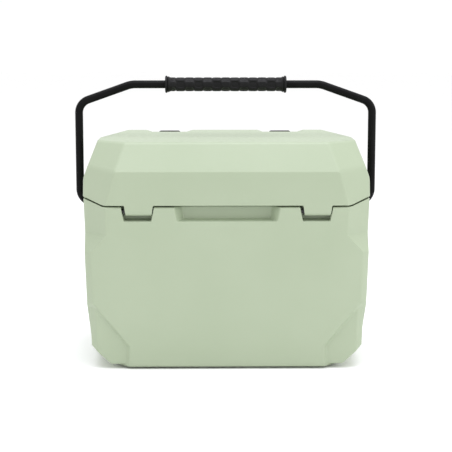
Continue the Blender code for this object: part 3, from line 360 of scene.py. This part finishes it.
def dress(node, name, body, mat, wide, narrow=None, tiny=0.3 * MM, segments=3, is_wide=every_edge):
    """A finished copy of a CAD node: facets rejoined, every edge rounded, normals even."""
    bm = cad_facets(node)
    weigh_edges(bm, wide, narrow or wide, tiny, is_wide)
    mesh = bpy.data.meshes.new(name + "_facets")
    bm.to_mesh(mesh)
    bm.free()
    mesh.shade_smooth()
    blank = bpy.data.objects.new(name + "_facets", mesh)
    bpy.context.scene.collection.objects.link(blank)
    bevel = blank.modifiers.new("rounding", 'BEVEL')
    bevel.limit_method = 'WEIGHT'
    bevel.width = wide
    bevel.segments = segments
    bevel.use_clamp_overlap = False
    bevel.miter_outer = 'MITER_SHARP'
    bevel.loop_slide = False
    evaluated = blank.evaluated_get(bpy.context.evaluated_depsgraph_get())
    rounded = bpy.data.meshes.new_from_object(evaluated)
    rounded.name = name
    bpy.data.objects.remove(blank)
    bpy.data.meshes.remove(mesh)
    hold_to_surface(rounded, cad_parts[node], low_high(node), HOLD)
    obj = finish_piece(name, rounded, body, mat, (node,))
    normals = obj.modifiers.new("normals", 'WEIGHTED_NORMAL')
    normals.weight = 100                # large faces count most
    normals.keep_sharp = False


# ================================================================ meshes from scratch
ARC_STEPS = 3                           # straight pieces in the arc of a filleted corner
SIDE_OVER = 2.05                        # an arc takes up at most a side's length over this
ROD_SIDES = 48


def filleted(points, radius):
    """The open outline with each inner corner turned into an arc; points are (u, v) pairs."""
    result = [Vector(points[0])]
    for previous, point, following in zip(points, points[1:], points[2:]):
        here = Vector(point)
        before = Vector(previous) - here
        after = Vector(following) - here
        reach = min(radius, before.length / SIDE_OVER, after.length / SIDE_OVER)
        start = here + before.normalized() * reach
        end = here + after.normalized() * reach
        for step in range(ARC_STEPS + 1):
            t = step / ARC_STEPS
            result.append(start * (1 - t) ** 2 + here * 2 * t * (1 - t) + end * t ** 2)
    result.append(Vector(points[-1]))
    return result


def angles(sides):
    """Equal steps round a circle."""
    return [2 * math.pi * step / sides for step in range(sides)]


def join(bm, first, second):
    """Faces between two rings of vertices, one of which may be a single vertex."""
    sides = max(len(first), len(second))
    for step in range(sides):
        following = (step + 1) % sides
        if len(first) == 1:
            bm.faces.new((first[0], second[following], second[step]))
        elif len(second) == 1:
            bm.faces.new((first[step], first[following], second[0]))
        else:
            bm.faces.new((first[step], first[following], second[following], second[step]))


def lathe(bm, profile, centre, axis, sides):
    """A closed surface of revolution: profile of (radius, height), from the axis and back to it."""
    up = Vector(axis).normalized()
    side = up.orthogonal().normalized()
    other = up.cross(side)
    rings = []
    for radius, height in profile:
        base = Vector(centre) + up * height
        if radius:
            rings.append([bm.verts.new(base + (side * math.cos(angle) + other * math.sin(angle)) * radius)
                          for angle in angles(sides)])
        else:
            rings.append([bm.verts.new(base)])
    for first, second in zip(rings, rings[1:]):
        join(bm, first, second)


def mesh_piece(name, bm, body, mat, replaced, smooth_angle=40.0):
    """Finishes a bmesh as a piece, with normals outwards and sharp edges kept above an angle."""
    bmesh.ops.recalc_face_normals(bm, faces=bm.faces)
    mesh = bpy.data.meshes.new(name)
    bm.to_mesh(mesh)
    bm.free()
    mesh.shade_smooth()
    mesh.set_sharp_from_angle(angle=math.radians(smooth_angle))
    finish_piece(name, mesh, body, mat, replaced)


def make_rod(name, node, mat, fillet):
    """A pin along X as a turned rod with rounded ends, in the box of its CAD node."""
    low, high = low_high(node)
    half = (high.x - low.x) / 2
    radius = (high.z - low.z) / 2
    profile = filleted([(0, half), (radius, half), (radius, -half), (0, -half)], fillet)
    bm = bmesh.new()
    lathe(bm, profile, (low + high) / 2, (1, 0, 0), ROD_SIDES)
    mesh_piece(name, bm, "chest", mat, (node,))


# ================================================================ shells, liners and seal
SHELL_ROUND = 4.5 * MM                  # the soft ridges between the shells' big facets
FLOOR_BAND = 1.0 * MM
AT_FLOOR = low_high("body_shell")[0].z + FLOOR_BAND   # edges wholly below this are the bottom edges


def shell_edges(edge, angle):
    """Wide rounding between the big facets and along the bottom edges."""
    at_floor = all(vert.co.z < AT_FLOOR for vert in edge.verts)
    return at_floor or between_big_facets(edge, angle)


def make_shells():
    """Shells, liners and seal as rounded copies; the hidden foam keeps its CAD mesh."""
    dress("body_shell", "chest_shell", "chest", GREEN, wide=SHELL_ROUND,
          narrow=1.7 * MM, tiny=0.4 * MM, segments=4, is_wide=shell_edges)
    dress("lid_shell", "lid_cover", "lid", GREEN, wide=SHELL_ROUND,
          narrow=1.6 * MM, tiny=0.4 * MM, segments=4, is_wide=between_big_facets)
    dress("body_liner", "inner_tub", "chest", LINER, wide=1.0 * MM)
    dress("lid_liner", "lid_inner_panel", "lid", LINER, wide=1.2 * MM)
    dress("lid_gasket", "lid_seal", "lid", SEAL, wide=0.9 * MM)
    for node in ("body_foam", "lid_foam"):
        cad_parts[node].data.materials.clear()
        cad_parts[node].data.materials.append(FOAM)


# ================================================================ bail
TUBE_R = 6.35 * MM
TUBE_SIDES = 40
LEG_X = low_high("handle_bar")[1].x - TUBE_R
TOP_BAR_Z = low_high("handle_bar")[1].z - TUBE_R
PIVOT_Z = low_high("handle_bar")[0].z + TUBE_R
BEND_R = 22.0 * MM                      # centreline radius at the shoulder and at the pivot
TOP_BEND_R = 40.0 * MM                  # and where the top bar starts to slope down
TOP_VERTEX_X = 151.6 * MM               # there the straight lines of top bar and slope would meet
SHOULDER_ANGLE = math.radians(19.5)     # slope of the tube between top bar and shoulder
BAR_END_X = 195.5 * MM                  # inturned ends stop here, inside the sockets
TOP_STEPS = 8                           # straight pieces in each bend
SHOULDER_STEPS = 20
PIVOT_STEPS = 24
END_LIP = 0.8                           # inner over outer radius of the lip round each end face


def arc(centre, radius, start, end, steps):
    """Points of an arc in the XZ plane, angles from +X."""
    points = []
    for step in range(steps + 1):
        angle = start + (end - start) * step / steps
        x = centre[0] + radius * math.cos(angle)
        z = centre[1] + radius * math.sin(angle)
        points.append(Vector((x, 0, z)))
    return points


def bail_half():
    """The right half of the bail's centreline, from the middle of the top bar to its inturned end."""
    upright = math.pi / 2
    sloping = upright - SHOULDER_ANGLE
    bend = TOP_BEND_R * math.tan(SHOULDER_ANGLE / 2)
    cut = BEND_R * math.tan(sloping / 2)
    corner_z = TOP_BAR_Z - (LEG_X - TOP_VERTEX_X) * math.tan(SHOULDER_ANGLE)
    points = [Vector((0, 0, TOP_BAR_Z))]
    points += arc((TOP_VERTEX_X - bend, TOP_BAR_Z - TOP_BEND_R), TOP_BEND_R, upright, sloping, TOP_STEPS)
    points += arc((LEG_X - BEND_R, corner_z - cut), BEND_R, sloping, 0, SHOULDER_STEPS)
    points += arc((LEG_X - BEND_R, PIVOT_Z + BEND_R), BEND_R, 0, -upright, PIVOT_STEPS)
    points.append(Vector((BAR_END_X, 0, PIVOT_Z)))
    return points


def make_bar():
    """The tube as a smooth sweep in the bail's plane, closed by a flat face at each end."""
    half = bail_half()
    points = [Vector((-p.x, p.y, p.z)) for p in reversed(half[1:])] + half
    across = Vector((0, 1, 0))
    bm = bmesh.new()
    rings = []
    for index, point in enumerate(points):
        before = points[max(index - 1, 0)]
        after = points[min(index + 1, len(points) - 1)]
        out = (after - before).normalized().cross(across).normalized()
        rings.append([bm.verts.new(point + (across * math.cos(angle) + out * math.sin(angle)) * TUBE_R)
                      for angle in angles(TUBE_SIDES)])
    for first, second in zip(rings, rings[1:]):
        join(bm, first, second)
    for ring, end in ((rings[0], points[0]), (rings[-1], points[-1])):
        inner = [bm.verts.new(end + (vert.co - end) * END_LIP) for vert in ring]
        join(bm, ring, inner)
        bm.faces.new(inner)
    mesh_piece("bail_tube", bm, "handle", COAT, ("handle_bar",))


GRIP_HALF = low_high("handle_grip")[1].x
GRIP_COLLAR_R = (low_high("handle_grip")[1].z - low_high("handle_grip")[0].z) / 2
GRIP_BORE_R = TUBE_R + 0.25 * MM
GRIP_PAD_R = 11.1 * MM
GRIP_VALLEY = 2.2 * MM                  # depth of the valleys between the pads
GRIP_PITCH = 29.0 * MM                  # from pad to pad along the grip
GRIP_ROWS = 6                           # rows of pads round the grip, every other one half a pitch along
PAD_LEVEL = 0.6                         # larger makes larger pads
PAD_STEEPNESS = 1.5                     # slope of the pads' edges
FADE_LENGTH = 4.0 * MM                  # the valleys grow to full depth over this length
FLARE_LENGTH = 9.0 * MM                 # the grip swells towards its ends over this length
FLARE_HEIGHT = 0.75                     # part of the way from pad to collar that it swells
FLARE_RISE = 0.45                       # part of that length within which it does
FLARE_CURVE = 1.5                       # power of the swell, which starts slowly
GROOVE_AT = 4.3 * MM                    # groove before the end bead, from the end
GROOVE_WIDTH = 0.5 * MM
GROOVE_DEPTH = 1.5 * MM
BEAD_HALF = 2.0 * MM                    # half the bead's width
BEAD_HEIGHT = 1.6 * MM
GRIP_COLUMNS = 420
GRIP_SIDES = 144
GRIP_SMOOTH_ANGLE = 60.0


def clamp(value):
    """The value held between 0 and 1."""
    return max(0.0, min(1.0, value))


def grip_radius(x, angle):
    """Radius of the grip at a place: staggered lens-shaped pads, and a beaded collar at each end."""
    from_end = GRIP_HALF - abs(x)
    if from_end < 2 * BEAD_HALF:
        bead = max(0.0, 1 - ((from_end - BEAD_HALF) / BEAD_HALF) ** 2)
        return GRIP_COLLAR_R - BEAD_HEIGHT + BEAD_HEIGHT * math.sqrt(bead)
    wave = math.cos(2 * math.pi * x / GRIP_PITCH) * math.cos(GRIP_ROWS / 2 * angle)
    pad = clamp(PAD_LEVEL + PAD_STEEPNESS * wave)
    pad = pad * pad * (3 - 2 * pad)
    fade = clamp((from_end - FLARE_LENGTH) / FADE_LENGTH)
    radius = GRIP_PAD_R - GRIP_VALLEY * (1 - pad) * fade
    if from_end < FLARE_LENGTH:
        flare = (FLARE_LENGTH - from_end) / FLARE_LENGTH
        swell = min(1.0, flare / FLARE_RISE) ** FLARE_CURVE
        radius += (GRIP_COLLAR_R - GRIP_PAD_R) * FLARE_HEIGHT * swell
    return radius - GROOVE_DEPTH * math.exp(-((from_end - GROOVE_AT) / GROOVE_WIDTH) ** 2)


def around_top_bar(x, radius, angle):
    """A place at a distance from the top bar's centreline."""
    return x, -radius * math.cos(angle), TOP_BAR_Z + radius * math.sin(angle)


def make_grip():
    """The moulded grip as one closed sleeve: its outside, and a plain bore through it."""
    bm = bmesh.new()
    rings = []
    for column in range(GRIP_COLUMNS + 1):
        x = -GRIP_HALF + 2 * GRIP_HALF * column / GRIP_COLUMNS
        rings.append([bm.verts.new(around_top_bar(x, grip_radius(x, angle), angle))
                      for angle in angles(GRIP_SIDES)])
    for x in (GRIP_HALF, -GRIP_HALF):
        rings.append([bm.verts.new(around_top_bar(x, GRIP_BORE_R, angle)) for angle in angles(GRIP_SIDES)])
    rings.append(rings[0])
    for first, second in zip(rings, rings[1:]):
        join(bm, first, second)
    mesh_piece("bail_grip", bm, "handle", GRIP, ("handle_grip",), GRIP_SMOOTH_ANGLE)


def make_bail():
    """The handle and the sockets that it turns in."""
    make_bar()
    make_grip()
    for side in SIDES:
        dress("handle_socket_" + side, "pivot_socket_" + side, "chest", SOCKET,
              wide=0.6 * MM, tiny=0.35 * MM)
        dress("handle_retainer_" + side, "bail_retainer_" + side, "handle", STEEL,
              wide=0.4 * MM)


# ================================================================ hinges, latches, feet
def make_hinges():
    """Two hinge rods held by the chest, and the bushes in the lid's tabs."""
    for side in SIDES:
        make_rod("hinge_rod_" + side, "hinge_pin_" + side, PIN_STEEL, 0.6 * MM)
        for kind in ("plain", "spacer"):
            dress(f"hinge_bush_{side}_{kind}", f"tab_bush_{side}_{kind}", "lid", NYLON,
                  wide=0.25 * MM, tiny=0.25 * MM)


def make_latches():
    """Two rubber straps, each on a steel rod held by the chest."""
    for side in SIDES:
        body = "latch_" + side
        dress(body, "latch_strap_" + side, body, STRAP, wide=1.4 * MM, narrow=1.2 * MM,
              segments=4)
        make_rod("latch_rod_" + side, "latch_pin_" + side, STEEL, 0.5 * MM)


def make_feet():
    """Four rubber feet, each with its screw."""
    for place in ("back_left", "back_right", "front_left", "front_right"):
        dress("foot_" + place, "foot_pad_" + place, "chest", FOOT, wide=0.5 * MM,
              tiny=0.4 * MM)
        dress("foot_screw_" + place, "foot_fixing_" + place, "chest", STEEL, wide=0.3 * MM,
              tiny=0.25 * MM)


# ================================================================ stage, light and camera
FLOOR_RADIUS = 14.0                     # metres, so that its rim is far behind the chest
FLOOR_SIDES = 96
LIGHTS_AIM = (0, 0, 0.2)                # middle of the chest
WORLD_STRENGTH = 1.02                   # with the pale floor it gives the photo's white ground
LENS = 107.27                           # focal length, mm
CAMERA_PLACE = Vector((-0.0277, -2.1687, 0.5200))
CAMERA_AIM = Vector((0.0004, 0.0, 0.2012))
FARTHEST = 60.0                         # metres that the camera sees


def make_stage():
    """A wide round floor, nearly white, that hardly shows its edge against the white world."""
    mesh = bpy.data.meshes.new("floor")
    bm = bmesh.new()
    bmesh.ops.create_circle(bm, cap_ends=True, segments=FLOOR_SIDES, radius=FLOOR_RADIUS)
    bm.to_mesh(mesh)
    bm.free()
    floor = bpy.data.objects.new("floor", mesh)
    bpy.context.scene.collection.objects.link(floor)
    shader = Shader("pale_floor", (0.98, 0.98, 0.98), roughness=0.9)
    shader.colour(shader.blend(shader.noise(3.0), (0.975, 0.975, 0.975), (0.985, 0.985, 0.985)))
    mesh.materials.append(shader.mat)


def add_light(name, place, size, power, colour=(1.0, 1.0, 1.0)):
    """A rectangular area light, turned to the middle of the chest."""
    data = bpy.data.lights.new(name, 'AREA')
    data.shape = 'RECTANGLE'
    data.size, data.size_y = size
    data.energy = power
    data.color = colour
    light = bpy.data.objects.new(name, data)
    light.location = place
    light.rotation_euler = (Vector(LIGHTS_AIM) - Vector(place)).to_track_quat('-Z', 'Y').to_euler()
    bpy.context.scene.collection.objects.link(light)


def make_light():
    """White surroundings, a soft light from above and a weaker one from the right."""
    world = bpy.data.worlds.new("studio")
    world.use_nodes = True
    background = world.node_tree.nodes["Background"]
    background.inputs["Color"].default_value = (1.0, 1.0, 1.0, 1.0)
    background.inputs["Strength"].default_value = WORLD_STRENGTH
    bpy.context.scene.world = world
    add_light("overhead", (0.05, -0.25, 2.2), size=(2.2, 2.0), power=36.0, colour=(0.97, 0.965, 1.07))
    add_light("right_key", (2.8, -1.6, 1.4), size=(1.4, 1.2), power=17.0)
    bpy.context.scene.view_settings.view_transform = 'Standard'


def make_camera():
    """The photo's view: nearly head-on, from a little above."""
    data = bpy.data.cameras.new("camera")
    data.lens = LENS
    data.clip_end = FARTHEST
    camera = bpy.data.objects.new("camera", data)
    camera.location = CAMERA_PLACE
    camera.rotation_euler = (CAMERA_AIM - camera.location).to_track_quat('-Z', 'Y').to_euler()
    bpy.context.scene.collection.objects.link(camera)
    bpy.context.scene.camera = camera


make_camera()
make_shells()
make_bail()
make_hinges()
make_latches()
make_feet()
make_stage()
make_light()
